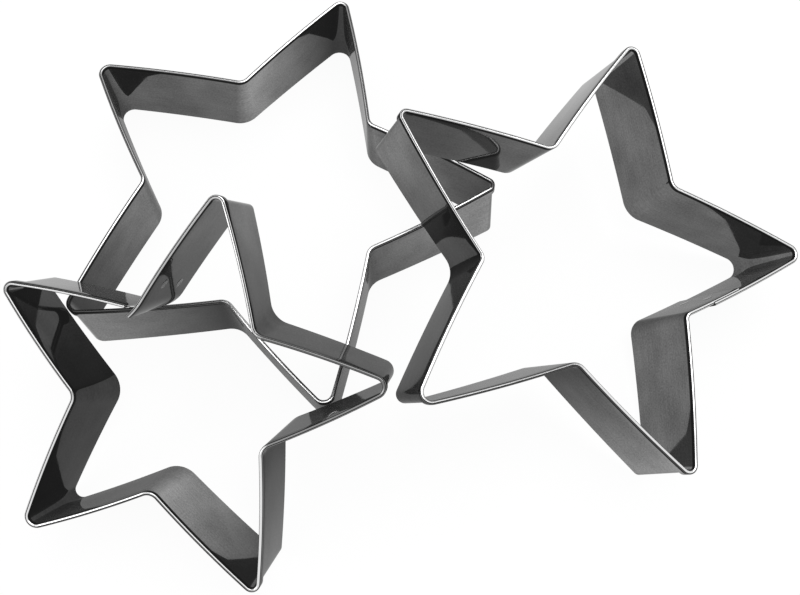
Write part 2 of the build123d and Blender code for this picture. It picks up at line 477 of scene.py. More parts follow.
def arc_points(start: Knot, end: Knot, steps: int) -> list[Vector]:
    """Points of the arc between two knots.

    Args:
        start: Knot that the arc leaves.
        end: Knot that it reaches.
        steps: Number of steps, all of one length.

    Returns:
        The points after the first one, the last one included.
    """
    chord = end.point - start.point
    turn = turn_between(start.direction, end.direction)
    heading = atan2(chord.y, chord.x)
    points = []
    for number in range(1, steps + 1):
        share = number / steps
        if abs(turn) < LEAST_TURN:
            points.append(start.point + chord * share)
            continue
        reach = chord.length * sin(turn * share / 2) / sin(turn / 2)
        angle = heading - turn / 2 + turn * share / 2
        points.append(start.point + Vector((cos(angle), sin(angle), 0.0)) * reach)
    return points


@dataclass(frozen=True)
class Lean:
    """How a cutter lies that stands on two tips and leans on the rim of the large one.

    The heading is that of the line from one floor tip to the other, in degrees. The shares say
    how far along one side of each rim the two touch.
    """

    heading: float
    floor_tips: Corners
    own_side: Corners
    own_share: float
    carrier_side: Corners
    carrier_share: float

    def place(self, path: StripPath, carrier: Outline, stock: StripStock) -> Matrix:
        """Transform from the cutter's own plane to where it lies.

        Args:
            path: Path of the cutter's cutting edge.
            carrier: Rim of the cutter that it leans on.
            stock: Strip that both are bent from.

        Returns:
            The transform, in the large star's frame.
        """
        (near, near_radius), (far, far_radius) = (path.tip_arc(tip) for tip in self.floor_tips)
        spread = far - near
        swing = asin((near_radius - far_radius) / spread.length)
        along = Matrix.Rotation(swing, 3, "Z") @ spread.normalized()
        upslope = Vector((-along.y, along.x, 0.0))
        floor_line = near - upslope * near_radius
        start, end = (path.outline.corners[corner] for corner in self.own_side)
        own_contact = start.lerp(end, self.own_share)
        start, end = (carrier.corners[corner] for corner in self.carrier_side)
        lift = stock.height + stock.rest_gap
        contact = start.lerp(end, self.carrier_share) + UP * lift
        tilt = asin(lift / (own_contact - floor_line).dot(upslope))
        level = Vector((cos(radians(self.heading)), sin(radians(self.heading)), 0.0))
        rising = Vector((-level.y, level.x, 0.0)) * cos(tilt) + UP * sin(tilt)
        x_axis = level * along.x + rising * upslope.x
        y_axis = level * along.y + rising * upslope.y
        origin = contact - x_axis * own_contact.x - y_axis * own_contact.y
        turned = Matrix((x_axis, y_axis, level.cross(rising))).transposed()
        return Matrix.Translation(origin) @ turned.to_4x4()


class Value:
    """Number socket of a node graph that takes arithmetic by adding Math nodes."""

    def __init__(self, graph: "Graph", socket: bpy.types.NodeSocket) -> None:
        """Keeps the graph and the socket."""
        self.graph = graph
        self.socket = socket

    def _math(self, operation: str, first: "Value | float", second: "Value | float") -> "Value":
        """Result of a Math node on two operands."""
        inputs = {0: first, 1: second}
        return self.graph.node("ShaderNodeMath", {"operation": operation}, inputs)

    def __add__(self, other: "Value | float") -> "Value":
        """Sum."""
        return self._math("ADD", self, other)

    def __radd__(self, other: float) -> "Value":
        """Sum, with the number first."""
        return self._math("ADD", other, self)

    def __sub__(self, other: "Value | float") -> "Value":
        """Difference."""
        return self._math("SUBTRACT", self, other)

    def __rsub__(self, other: float) -> "Value":
        """Difference, with the number first."""
        return self._math("SUBTRACT", other, self)

    def __mul__(self, other: "Value | float") -> "Value":
        """Product."""
        return self._math("MULTIPLY", self, other)

    def __rmul__(self, other: float) -> "Value":
        """Product, with the number first."""
        return self._math("MULTIPLY", other, self)

    def __truediv__(self, other: "Value | float") -> "Value":
        """Quotient."""
        return self._math("DIVIDE", self, other)

    def band(self, low: float, high: float) -> "Value":
        """Smooth step from 0 at one value to 1 at another."""
        settings = {"interpolation_type": "SMOOTHSTEP"}
        inputs = {"Value": self, "From Min": low, "From Max": high}
        return self.graph.node("ShaderNodeMapRange", settings, inputs)

    def at_most(self, other: "Value | float") -> "Value":
        """Smaller of the two."""
        return self._math("MINIMUM", self, other)


@dataclass(frozen=True)
class Noise:
    """How fine a noise pattern is, with the number and the strength of its finer layers."""

    scale: float
    detail: float
    roughness: float


class Graph:
    """Node tree of a material, a world or a modifier."""

    def __init__(self, tree: bpy.types.NodeTree) -> None:
        """Keeps the tree and empties it."""
        self.tree = tree
        tree.nodes.clear()

    def node(
        self,
        kind: str,
        settings: dict | None = None,
        inputs: dict | None = None,
        output: int | str = 0,
    ) -> Value | None:
        """Adds a node.

        Args:
            kind: Type of the node.
            settings: Its properties, which are set first.
            inputs: Values or links of its sockets, by name or number.
            output: Output that is returned.

        Returns:
            The output, ready for arithmetic, or nothing where the node has none.
        """
        node = self.tree.nodes.new(kind)
        for name, value in (settings or {}).items():
            setattr(node, name, value)
        for name, value in (inputs or {}).items():
            if isinstance(value, Value):
                self.tree.links.new(value.socket, node.inputs[name])
            else:
                node.inputs[name].default_value = value
        return Value(self, node.outputs[output]) if len(node.outputs) else None

    def attribute(self, name: str) -> Value:
        """Number that a piece's mesh carries under a name."""
        return self.node("ShaderNodeAttribute", {"attribute_name": name}, output="Fac")

    def noise(self, vector: Value, pattern: Noise) -> Value:
        """Noise from 0 to 1."""
        sizes = {"Scale": pattern.scale, "Detail": pattern.detail, "Roughness": pattern.roughness}
        inputs = {"Vector": vector, **sizes}
        return self.node("ShaderNodeTexNoise", {"noise_dimensions": "3D"}, inputs)

    def vector(self, x: Value | float, y: Value | float, z: Value | float) -> Value:
        """Vector from three numbers."""
        return self.node("ShaderNodeCombineXYZ", inputs={0: x, 1: y, 2: z})

    def scaled(self, vector: Value | Triple, amount: Value) -> Value:
        """Vector or colour scaled by a number."""
        inputs = {0: vector, "Scale": amount}
        return self.node("ShaderNodeVectorMath", {"operation": "SCALE"}, inputs)

    def total(self, first: Value, second: Value) -> Value:
        """Sum of two vectors."""
        return self.node("ShaderNodeVectorMath", {"operation": "ADD"}, {0: first, 1: second})

    def surface(self, shader: Value) -> None:
        """Makes a shader the material's surface."""
        self.node("ShaderNodeOutputMaterial", inputs={"Surface": shader})

    def metal(self, height: Value, inputs: dict) -> None:
        """Makes a metal the material's surface.

        Args:
            height: Relief in metres.
            inputs: Values or links of the shader's other sockets.
        """
        bump = self.node("ShaderNodeBump", inputs={"Distance": 1.0, "Height": height})
        self.surface(self.node("ShaderNodeBsdfPrincipled", inputs={"Normal": bump, **inputs}))


def new_material(name: str) -> tuple[bpy.types.Material, Graph]:
    """New material with an empty node graph."""
    material = bpy.data.materials.new(name)
    material.use_nodes = True
    return material, Graph(material.node_tree)


def add_object(name: str, data: bpy.types.ID) -> bpy.types.Object:
    """New object at the origin of the scene."""
    made = bpy.data.objects.new(name, data)
    bpy.context.scene.collection.objects.link(made)
    return made


def write_closed(build: bmesh.types.BMesh, mesh: bpy.types.Mesh) -> None:
    """Writes a closed shape to a mesh, faces outward and smooth between sharp edges.

    Args:
        build: The shape, which is freed.
        mesh: The mesh that takes it.
    """
    bmesh.ops.recalc_face_normals(build, faces=build.faces)
    if build.calc_volume(signed=True) < 0:
        bmesh.ops.reverse_faces(build, faces=build.faces)
    build.to_mesh(mesh)
    build.free()
    mesh.shade_smooth()
    mesh.set_sharp_from_angle(angle=SHARP_ANGLE)


@dataclass(frozen=True)
class PolishedSteel:
    """Polished stainless strip: mirror faces with painted light and shade, and a fold with painted
    highlights and painted shade lines along it.

    Its glow is a faint painted light that every face gives off.
    """

    colour: Triple = (0.132, 0.132, 0.132)
    edge_tint: Colour = (0.55, 0.55, 0.55, 1.0)
    # Faint painted glow of every face
    painted_glow: Colour = (0.01, 0.01, 0.01, 1.0)

    # Where each painted highlight and painted shade line lies around the fold or up the wall,
    # as the two ends of its fade
    outer_face: Pair = (-0.2, 0.2)
    fold_level: Pair = (0.0209, 0.0211)
    lip: Pair = (-0.56, -0.42)
    crown_end: Pair = (-0.07, 0.07)
    ridge_start: Pair = (0.26, 0.34)
    ridge_end: Pair = (0.46, 0.54)
    # Painted shade band on the outer wall just below the hem
    hem_shade_face: Pair = (1.5, 1.9)
    hem_shade_level: Pair = (0.0189, 0.0193)

    # How light the painted highlights and the painted shade lines are
    highlight_gain: float = 5.6
    fold_painted_shade: float = 0.03
    # Share of the tone that the painted shade below the hem keeps
    hem_shade: float = 0.45

    # Patterns on the walls, their shift from one face to the other, and how much each one
    # changes the tone
    face_shift: float = 0.05
    mottle: Noise = Noise(85.0, 4.0, 0.55)
    mottle_depth: float = 1.1
    streaks: Noise = Noise(1.0, 2.0, 0.6)
    streaks_along: float = 90.0
    streaks_up: float = 2600.0
    streak_depth: float = 0.5
    specks: Noise = Noise(2200.0, 2.0, 0.6)
    speck_depth: float = 1.2

    # Roughness and relief
    smudges: Noise = Noise(160.0, 5.0, 0.7)
    smudge_edge: Pair = (0.5, 0.75)
    roughness: float = 0.055
    smudge_roughness: float = 0.07
    crown_roughness: float = 0.12
    waves: Noise = Noise(70.0, 2.0, 0.5)
    wave_height: float = 0.00004
    grain_height: float = 0.0000006

    def make(self, name: str) -> bpy.types.Material:
        """Makes the material.

        Args:
            name: Name of the material.

        Returns:
            The material, which reads the strip's own attributes.
        """
        material, graph = new_material(name)
        around = graph.attribute("around")
        travel = graph.attribute("travel")
        level = graph.attribute("level")

        # The strip's own coordinates: along it, up it, and one side or the other
        place = graph.vector(travel, level, around.band(*self.outer_face) * self.face_shift)
        brushed = graph.vector(travel * self.streaks_along, level * self.streaks_up, around)
        mottle = graph.noise(place, self.mottle)
        streaks = graph.noise(brushed, self.streaks)
        specks = graph.noise(place, self.specks)
        smudges = graph.noise(place, self.smudges).band(*self.smudge_edge)

        # Across the fold: painted shade on the lip, a painted highlight on the crown, painted
        # shade in the groove, a thin painted highlight on the ridge and a painted shade outline
        fold = level.band(*self.fold_level)
        beyond = around - graph.attribute("crown_reach")
        crown = around.band(*self.lip) * (1.0 - beyond.band(*self.crown_end))
        ridge = beyond.band(*self.ridge_start) * (1.0 - beyond.band(*self.ridge_end))
        # Painted shade band on the outer wall just below the hem
        hem_shade = around.band(*self.hem_shade_face) * level.band(*self.hem_shade_level)
        face = 1.0 + (mottle - 0.5) * self.mottle_depth
        face = face + (streaks - 0.5) * self.streak_depth + (specks - 0.5) * self.speck_depth
        # Painted light and shade of each side's faces over the random pattern, with the painted
        # shade band below the hem
        plain = face * graph.attribute("face_tone") * (1.0 - hem_shade * (1.0 - self.hem_shade))
        # Painted shade over the whole fold, under its painted highlights
        plain = plain * (1.0 - fold) + fold * self.fold_painted_shade
        painted_highlights = crown * graph.attribute("crown_tone") + ridge * graph.attribute("ridge_tone")
        amount = plain * (1.0 - crown - ridge) + painted_highlights * self.highlight_gain

        roughness = self.roughness + smudges * self.smudge_roughness
        roughness = roughness + crown * self.crown_roughness
        waves = graph.noise(place, self.waves) * self.wave_height
        height = waves + (streaks + specks) * self.grain_height
        inputs = {
            "Base Color": graph.scaled(self.colour, amount),
            # Metallic lowered side by side away from the fold: painted shade that dims the
            # reflection
            "Metallic": 1.0 - (1.0 - graph.attribute("bare_share")) * (1.0 - fold),
            "Roughness": roughness,
            "Specular IOR Level": 0.0,
            "Specular Tint": self.edge_tint,
            # A faint painted glow that every face gives off
            "Emission Color": self.painted_glow,
            "Emission Strength": 1.0,
        }
        graph.metal(height, inputs)
        return material


@dataclass(frozen=True)
class WeldSteel:
    """Dull, slightly tarnished steel of a spot weld."""

    colour: Triple = (0.075, 0.075, 0.075)
    least_tone: float = 0.75
    cloud: Noise = Noise(900.0, 2.0, 0.5)
    cloud_depth: float = 0.4
    grain: Noise = Noise(3500.0, 3.0, 0.6)
    grain_depth: float = 0.1
    grain_height: float = 0.000004
    roughness: float = 0.2
    cloud_roughness: float = 0.15

    def make(self, name: str) -> bpy.types.Material:
        """Makes the material.

        Args:
            name: Name of the material.

        Returns:
            The material, which reads Object coordinates.
        """
        material, graph = new_material(name)
        place = graph.node("ShaderNodeTexCoord", output="Object")
        grain = graph.noise(place, self.grain)
        cloud = graph.noise(place, self.cloud)
        amount = self.least_tone + cloud * self.cloud_depth + grain * self.grain_depth
        inputs = {
            "Base Color": graph.scaled(self.colour, amount),
            "Metallic": 1.0,
            "Roughness": self.roughness + cloud * self.cloud_roughness,
        }
        graph.metal(grain * self.grain_height, inputs)
        return material


class StripSweep:
    """Geometry Nodes tree that sweeps the strip's section along its path and leans it out."""

    def __init__(self, stock: StripStock) -> None:
        """Builds the tree and the section that it sweeps."""
        self.stock = stock
        self.tree = bpy.data.node_groups.new("hemmed_strip_sweep", "GeometryNodeTree")
        self.sockets = self._add_sockets()
        self._build()

    def _add_sockets(self) -> dict[str, str]:
        """Adds the tree's named inputs and output, and returns the inputs' identifiers."""
        interface = self.tree.interface
        interface.new_socket("Strip", in_out="OUTPUT", socket_type="NodeSocketGeometry")
        kinds = {
            "Path": "NodeSocketGeometry",
            "Section": "NodeSocketObject",
            "Strip Height": "NodeSocketFloat",
            "Merge Distance": "NodeSocketFloat",
            "Steel": "NodeSocketMaterial",
        }
        made = {
            name: interface.new_socket(name, in_out="INPUT", socket_type=kind)
            for name, kind in kinds.items()
        }
        return {name: socket.identifier for name, socket in made.items()}

    def _build(self) -> None:
        """Adds the nodes: sweep, lean, close the hem at the lap, and finish."""
        graph = Graph(self.tree)
        given = self.tree.nodes.new("NodeGroupInput")
        inputs = {name: Value(graph, given.outputs[name]) for name in self.sockets}
        path = graph.node("GeometryNodeMeshToCurve", inputs={"Mesh": inputs["Path"]})
        path = graph.node("GeometryNodeSetCurveNormal", {"mode": "Z_UP"}, {"Curve": path})
        given_object = {"Object": inputs["Section"]}
        section = graph.node("GeometryNodeObjectInfo", inputs=given_object, output="Geometry")
        section = graph.node("GeometryNodeMeshToCurve", inputs={"Mesh": section})
        sweep = graph.node(
            "GeometryNodeCurveToMesh",
            inputs={"Curve": path, "Profile Curve": section, "Fill Caps": True},
        )
        names = ("level", "cap", "flat", "proud")
        level, cap, flat, proud = (self._named(graph, "FLOAT", name) for name in names)
        lean, out = (self._named(graph, "FLOAT_VECTOR", name) for name in ("lean", "out"))
        kept = level.at_most(cap)
        leaning = graph.scaled(lean, 1.0 - kept / inputs["Strip Height"])
        closing = graph.scaled(out, flat * proud * -1.0)
        lowering = graph.vector(0.0, 0.0, kept - level)
        offset = graph.total(graph.total(leaning, closing), lowering)
        moved = graph.node("GeometryNodeSetPosition", inputs={"Geometry": sweep, "Offset": offset})
        merged = graph.node(
            "GeometryNodeMergeByDistance",
            inputs={"Geometry": moved, "Distance": inputs["Merge Distance"]},
        )
        real = graph.node("GeometryNodeRealizeInstances", inputs={"Geometry": merged})
        finished = graph.node(
            "GeometryNodeSetMaterial", inputs={"Geometry": real, "Material": inputs["Steel"]}
        )
        result = self.tree.nodes.new("NodeGroupOutput")
        self.tree.links.new(finished.socket, result.inputs["Strip"])

    @staticmethod
    def _named(graph: Graph, kind: str, name: str) -> Value:
        """Named attribute of the geometry."""
        return graph.node("GeometryNodeInputNamedAttribute", {"data_type": kind}, {"Name": name})

    def wall_heights(self, top: float) -> list[float]:
        """Heights of the points up one face of the wall, from its bevelled edge to below a top."""
        heights = [top * number / WALL_STEPS for number in range(WALL_STEPS)]
        return [self.stock.edge_bevel] + heights[1:]

    def section(self, side: int) -> bpy.types.Object:
        """Section across the strip: wall, fold and hem, closed.

        Args:
            side: 1 or -1, the side of the path that is outward.

        Returns:
            An object whose mesh is one closed line.
        """
        stock = self.stock
        top = stock.height - stock.fold_height
        middle = (stock.hem_stand - stock.sheet) / 2
        half = (stock.hem_stand + stock.sheet) / 2
        rows = [(-stock.sheet, height, AROUND_INNER) for height in self.wall_heights(top)]
        for number in range(FOLD_STEPS + 1):
            share = number / FOLD_STEPS
            angle = pi * (1 - share)
            height = top + stock.fold_height * sin(angle)
            around = AROUND_INNER + (AROUND_HEM - AROUND_INNER) * share
            rows.append((middle + half * cos(angle), height, around))
        rows.append((stock.hem_stand, stock.hem_level, AROUND_HEM))
        rows.append((0.0, stock.hem_level, AROUND_OUTER))
        for height in reversed(self.wall_heights(stock.hem_level)):
            rows.append((0.0, height, AROUND_OUTER))
        rows.append((-stock.edge_bevel, 0.0, AROUND_OUTER))
        rows.append((stock.edge_bevel - stock.sheet, 0.0, AROUND_INNER))
        mesh = bpy.data.meshes.new("strip_section")
        edges = [(index, (index + 1) % len(rows)) for index in range(len(rows))]
        mesh.from_pydata([(side * across, -height, 0.0) for across, height, _ in rows], edges, [])
        layers = {
            "around": [around for _, _, around in rows],
            "level": [height for _, height, _ in rows],
            "proud": [max(across, 0.0) for across, _, _ in rows],
        }
        write_layers(mesh, layers)
        return add_object("strip_section", mesh)


def write_layers(mesh: bpy.types.Mesh, layers: dict[str, list[float] | list[Vector]]) -> None:
    """Writes named numbers or vectors, one for each point of a mesh."""
    for name, values in layers.items():
        if isinstance(values[0], Vector):
            layer = mesh.attributes.new(name, "FLOAT_VECTOR", "POINT")
            layer.data.foreach_set("vector", [part for vector in values for part in vector])
        else:
            layer = mesh.attributes.new(name, "FLOAT", "POINT")
            layer.data.foreach_set("value", values)


@dataclass(frozen=True)
class SpotWeld:
    """Spot weld that closes a lap: a shallow button, dished on both faces.

    Its dish runs from the middle to the rim. Each point has its distance as a share of the
    radius, and its depth as a share of how proud the weld stands.
    """

    diameter: float = 0.0024
    proud: float = 0.00005
    dish: tuple[Pair, ...] = (
        (0.0, 0.35), (0.36, 0.28), (0.72, 0.1), (0.9, 0.0), (1.0, 0.7),
    )
    steps: int = 48

    def profile(self, depth: float) -> list[Pair]:
        """Half section of the button, from the middle of its front to the middle of its back.

        Args:
            depth: Distance from its front to its back.

        Returns:
            Distances from the axis and along it.
        """
        radius = self.diameter / 2
        front = [(radius * across, -self.proud * sunk) for across, sunk in self.dish]
        back = [(across, -depth - along) for across, along in reversed(front)]
        return front + back

    def make(self, name: str, place: Matrix, depth: float) -> bpy.types.Object:
        """Makes the button.

        Args:
            name: Name of the piece.
            place: Transform whose Z axis is the weld's axis, pointing outward, at its front.
            depth: Distance from its front to its back.

        Returns:
            The piece, closed and pointing outward.
        """
        build = bmesh.new()
        angles = [2 * pi * number / self.steps for number in range(self.steps)]
        rings = []
        for across, along in self.profile(depth):
            turns = angles if across else angles[:1]
            places = [(across * cos(turn), across * sin(turn), along) for turn in turns]
            ring = [build.verts.new(place) for place in places]
            rings.append(ring if across else ring * self.steps)
        for upper, lower in zip(rings, rings[1:]):
            for number in range(self.steps):
                corners = (upper[number - 1], lower[number - 1], lower[number], upper[number])
                build.faces.new(tuple(dict.fromkeys(corners)))
        mesh = bpy.data.meshes.new(name)
        write_closed(build, mesh)
        mesh.transform(place)
        return add_object(name, mesh)


@dataclass(frozen=True)
class StarCutter:
    """One star cutter: its strip, its welds and where it lies."""

    name: str
    form: StarForm
    route: Route
    stock: StripStock
    shine: Shine
    weld_shares: Pair = (0.3, 0.7)

    def paths(self) -> tuple[StripPath, StripPath]:
        """Paths of the cutting edge and of the rim."""
        edge = StripPath(self.form.edge(self.stock), self.route, self.stock)
        rim = StripPath(self.form.rim(self.stock), self.route, self.stock)
        return edge, rim

    def path_object(self) -> bpy.types.Object:
        """Line of the rim with what the sweep and the steel read along it."""
        edge, rim = self.paths()
        low, high = edge.points(), rim.points()
        notch = rim.notch()
        step = (high[notch + 1] - high[notch]).normalized() * self.stock.notch_cut
        high.insert(notch + 1, high[notch] + step)
        low.insert(notch + 1, low[notch] + step)
        tail = self.route.tail > 0.0
        hemless = [(index <= notch) == tail for index in range(len(high))]
        hemless_top = self.stock.tab_top if tail else self.stock.height
        mesh = bpy.data.meshes.new(f"{self.name}_path")
        mesh.from_pydata(high, [(index, index + 1) for index in range(len(high) - 1)], [])
        travel = [0.0]
        for before, after in zip(high, high[1:]):
            travel.append(travel[-1] + (after - before).length)
        outs = []
        for index in range(len(high)):
            before, after = high[max(index - 1, 0)], high[min(index + 1, len(high) - 1)]
            outs.append(self.route.outward((after - before).normalized()))
        layers = {
            "lean": [lower - upper for lower, upper in zip(low, high)],
            "out": outs,
            "flat": [float(end) for end in hemless],
            "cap": [hemless_top if end else self.stock.height for end in hemless],
            "travel": travel,
        }
        # Painted light, shade and highlights of each side, spread along the rim
        for name, sides in self.shine.named().items():
            layers[name] = rim.spread(sides)
            layers[name].insert(notch + 1, layers[name][notch])
        write_layers(mesh, layers)
        return add_object(f"{self.name}_path", mesh)

    def make_strip(self, sweep: StripSweep, steel: bpy.types.Material) -> bpy.types.Object:
        """Sweeps the strip and turns the result into a plain mesh.

        Args:
            sweep: Geometry Nodes tree of the sweep.
            steel: Finish of the strip.

        Returns:
            The piece, in the cutter's own plane.
        """
        section = sweep.section(-self.route.step)
        line = self.path_object()
        modifier = line.modifiers.new("sweep", "NODES")
        modifier.node_group = sweep.tree
        modifier[sweep.sockets["Section"]] = section
        modifier[sweep.sockets["Strip Height"]] = self.stock.height
        modifier[sweep.sockets["Merge Distance"]] = self.stock.merge_distance
        modifier[sweep.sockets["Steel"]] = steel
        bpy.context.view_layer.update()
        evaluated = line.evaluated_get(bpy.context.evaluated_depsgraph_get())
        mesh = bpy.data.meshes.new_from_object(evaluated)
        name = f"{self.name}_hemmed_strip"
        mesh.name = name
        line.modifiers.clear()
        for used in (line, section):
            bpy.data.objects.remove(used)
        build = bmesh.new()
        build.from_mesh(mesh)
        write_closed(build, mesh)
        return add_object(name, mesh)

    def weld_places(self) -> list[Matrix]:
        """Transforms of the welds' fronts in the cutter's own plane, from the lowest up."""
        knots = []
        for path in self.paths():
            corners = path.outline.corners
            distance = self.route.closing_distance(path.outline, self.route.weld_distance)
            last, first = corners[self.route.last], corners[self.route.first]
            knots.append(path.side_knot(last, first, distance))
        foot, head = knots
        rise = head.point - foot.point + UP * self.stock.height
        facing = self.route.outward(foot.direction)
        normal = (facing - rise * (facing.dot(rise) / rise.dot(rise))).normalized()
        side = foot.direction
        turned = Matrix((side, normal.cross(side), normal)).transposed().to_4x4()
        front = foot.point + normal * SpotWeld.proud
        return [Matrix.Translation(front + rise * share) @ turned for share in self.weld_shares]

    def build(
        self,
        sweep: StripSweep,
        steel: bpy.types.Material,
        weld_steel: bpy.types.Material,
        place: Matrix,
    ) -> list[bpy.types.Object]:
        """Builds the cutter where it lies, and lets it ride on its body.

        Args:
            sweep: Geometry Nodes tree of the strip.
            steel: Finish of the strip.
            weld_steel: Finish of the welds.
            place: Transform from the cutter's own plane to the shared frame.

        Returns:
            The strip and its welds.
        """
        strip = self.make_strip(sweep, steel)
        strip.data.transform(place)
        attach(strip, f"{self.name}_cutter")
        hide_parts(f"{self.name}_strip")
        pieces = [strip]
        weld = SpotWeld()
        depth = self.stock.lap_step + self.stock.sheet + 2 * weld.proud
        for number, spot in enumerate(self.weld_places(), start=1):
            piece = weld.make(f"{self.name}_spot_weld_{number}", place @ spot, depth)
            piece.data.materials.append(weld_steel)
            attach(piece, f"{self.name}_cutter")
            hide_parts(f"{self.name}_weld_{number}")
            pieces.append(piece)
        return pieces


@dataclass(frozen=True)
class Lamp:
    """Square soft lamp: where it hangs, the length of its sides and its power in watts."""

    name: str
    place: Triple
    size: float
    power: float

    def add(self) -> None:
        """Hangs the lamp, pointing at the middle of the set."""
        light = bpy.data.lights.new(self.name, "AREA")
        light.shape = "SQUARE"
        light.size = self.size
        light.energy = self.power
        lamp = add_object(self.name, light)
        lamp.location = self.place
        lamp.rotation_euler = Vector(self.place).to_track_quat("Z", "Y").to_euler()


@dataclass(frozen=True)
class Studio:
    """White floor and surroundings, soft lamps and the camera."""

    floor_size: float = 4.0
    floor_drop: float = 0.00005
    floor_colour: Colour = (0.9, 0.9, 0.9, 1.0)
    white: Colour = (1.0, 1.0, 1.0, 1.0)
    fill: Colour = (0.62, 0.62, 0.62, 1.0)
    camera_white_share: float = 0.95
    mirror_white_share: float = 0.72
    camera_place: Triple = (0.021694, -0.072322, 0.228628)
    camera_right: Triple = (0.94879, 0.31526, 0.02016)
    camera_up: Triple = (-0.30292, 0.88984, 0.34121)
    lens: float = 42.94
    sensor_width: float = 36.0
    nearest: float = 0.001
    lamps: tuple[Lamp, ...] = (
        Lamp("overhead", (0.1, 0.25, 1.0), 0.9, 9.0),
        Lamp("side", (-0.9, -0.5, 0.7), 0.6, 3.0),
    )

    def add_world(self) -> None:
        """Surroundings: white where they are seen or mirrored, a softer fill elsewhere."""
        world = bpy.data.worlds.new("studio")
        bpy.context.scene.world = world
        world.use_nodes = True
        graph = Graph(world.node_tree)
        inputs = {0: self.seen(graph, 1.0, 1.0), 6: self.fill, 7: self.white}
        colour = graph.node("ShaderNodeMix", {"data_type": "RGBA"}, inputs, output=2)
        background = graph.node("ShaderNodeBackground", inputs={"Color": colour, "Strength": 1.0})
        graph.node("ShaderNodeOutputWorld", inputs={"Surface": background})

    @staticmethod
    def seen(graph: Graph, camera: float, mirror: float) -> Value:
        """Share of plain white that rays from the camera and from shiny surfaces meet."""
        path = graph.tree.nodes.new("ShaderNodeLightPath")
        shares = {"Camera": camera, "Glossy": mirror, "Transmission": mirror}
        parts = [
            Value(graph, path.outputs[f"Is {kind} Ray"]) * share for kind, share in shares.items()
        ]
        return (parts[0] + parts[1] + parts[2]).at_most(1.0)

    def add_floor(self) -> None:
        """Plain white floor that keeps the cutters' soft shadow."""
        half = self.floor_size / 2
        mesh = bpy.data.meshes.new("floor")
        corners = [(-half, -half), (half, -half), (half, half), (-half, half)]
        mesh.from_pydata([(x, y, -self.floor_drop) for x, y in corners], [], [(0, 1, 2, 3)])
        material, graph = new_material("floor_white")
        lit = graph.node("ShaderNodeBsdfDiffuse", inputs={"Color": self.floor_colour})
        plain = graph.node("ShaderNodeEmission", inputs={"Color": self.white, "Strength": 1.0})
        share = self.seen(graph, self.camera_white_share, self.mirror_white_share)
        graph.surface(graph.node("ShaderNodeMixShader", inputs={0: share, 1: lit, 2: plain}))
        mesh.materials.append(material)
        floor = add_object("floor", mesh)

    def add_camera(self) -> None:
        """Camera at the photograph's viewing angle."""
        data = bpy.data.cameras.new("camera")
        data.lens = self.lens
        data.sensor_fit = "HORIZONTAL"
        data.sensor_width = self.sensor_width
        data.clip_start = self.nearest
        camera = add_object("camera", data)
        right, up = Vector(self.camera_right), Vector(self.camera_up)
        turned = Matrix((right, up, right.cross(up))).transposed().to_4x4()
        camera.matrix_world = Matrix.Translation(Vector(self.camera_place)) @ turned
        bpy.context.scene.camera = camera

    def build(self) -> None:
        """Builds the whole studio."""
        bpy.context.scene.view_settings.view_transform = "Standard"
        self.add_world()
        self.add_floor()
        for lamp in self.lamps:
            lamp.add()
        self.add_camera()


LARGE_FORM = StarForm(
    tip_radius=0.056,
    rim_ring=Ring(
        shares=(1.01, 0.52, 0.98, 0.52, 1.025, 0.55, 1.0, 0.535, 0.99, 0.52),
        turns=(-1.0, 35.0, 71.0, 106.0, 146.0, 177.5, 216.0, 253.5, 288.0, 326.0),
        rounds=(0.8, 1, 0.6, 1, 1, 1, 1, 1, 1, 1),
    ),
    edge_ring=Ring(
        shares=(1.04, 0.535, 1.03, 0.53, 1.01, 0.54, 1.035, 0.54, 1.015, 0.55),
        turns=(-1.5, 33.5, 72.0, 107.0, 145.5, 177.5, 216.5, 254.5, 288.5, 323.0),
        rounds=(1, 1, 0.6, 1, 1, 1, 1, 1, 0.9, 1),
    ),
)
MEDIUM_FORM = StarForm(
    tip_radius=0.0535,
    rim_ring=Ring(
        shares=(1.0, 0.49, 1.025, 0.48, 1.015, 0.48, 1.035, 0.505, 1.015, 0.465),
        turns=(-0.5, 36.5, 73.0, 108.5, 143.0, 179.0, 216.5, 249.5, 288.0, 323.5),
        rounds=(0.75, 1, 0.9, 0.6, 0.72, 1, 1, 0.7, 0.55, 1),
    ),
    edge_ring=Ring(
        shares=(1.02, 0.49, 1.04, 0.44, 1.035, 0.445, 1.01, 0.49, 1.03, 0.5),
        turns=(-1.0, 37.5, 71.5, 108.5, 143.0, 181.0, 217.5, 253.5, 288.0, 322.0),
        rounds=(0.6, 1, 0.9, 0.7, 0.5, 1, 0.6, 1, 0.45, 0.7),
    ),
)
SMALL_FORM = StarForm(
    tip_radius=0.0445,
    rim_ring=Ring(
        shares=(1.0, 0.475, 1.035, 0.455, 1.015, 0.465, 1.015, 0.485, 0.985, 0.455),
        turns=(-1.5, 37.5, 71.5, 106.0, 144.5, 182.5, 215.5, 256.0, 288.5, 321.5),
        rounds=(0.68, 1, 0.9, 1, 0.65, 1, 0.9, 1, 0.62, 1),
    ),
    edge_ring=Ring(
        shares=(0.98, 0.47, 1.055, 0.465, 1.01, 0.475, 1.04, 0.45, 1.01, 0.42),
        turns=(0.0, 34.0, 72.5, 104.5, 144.0, 183.0, 214.0, 248.5, 287.0, 320.5),
        rounds=(0.44, 1, 0.75, 1, 0.32, 1, 0.6, 1, 0.4, 1),
    ),
)

LARGE_ROUTE = Route(
    first=2, step=1, inner_corner=1, outer_end=0.008, inner_end=0.0153, weld_distance=0.01165
)
MEDIUM_ROUTE = Route(
    first=2, step=-1, inner_corner=3, outer_end=0.0083, inner_end=0.0156, weld_distance=0.01195
)
SMALL_ROUTE = Route(
    first=9, step=-1, inner_corner=9, outer_end=0.009, inner_end=0.0, weld_distance=0.0066,
    tail=0.0042,
)

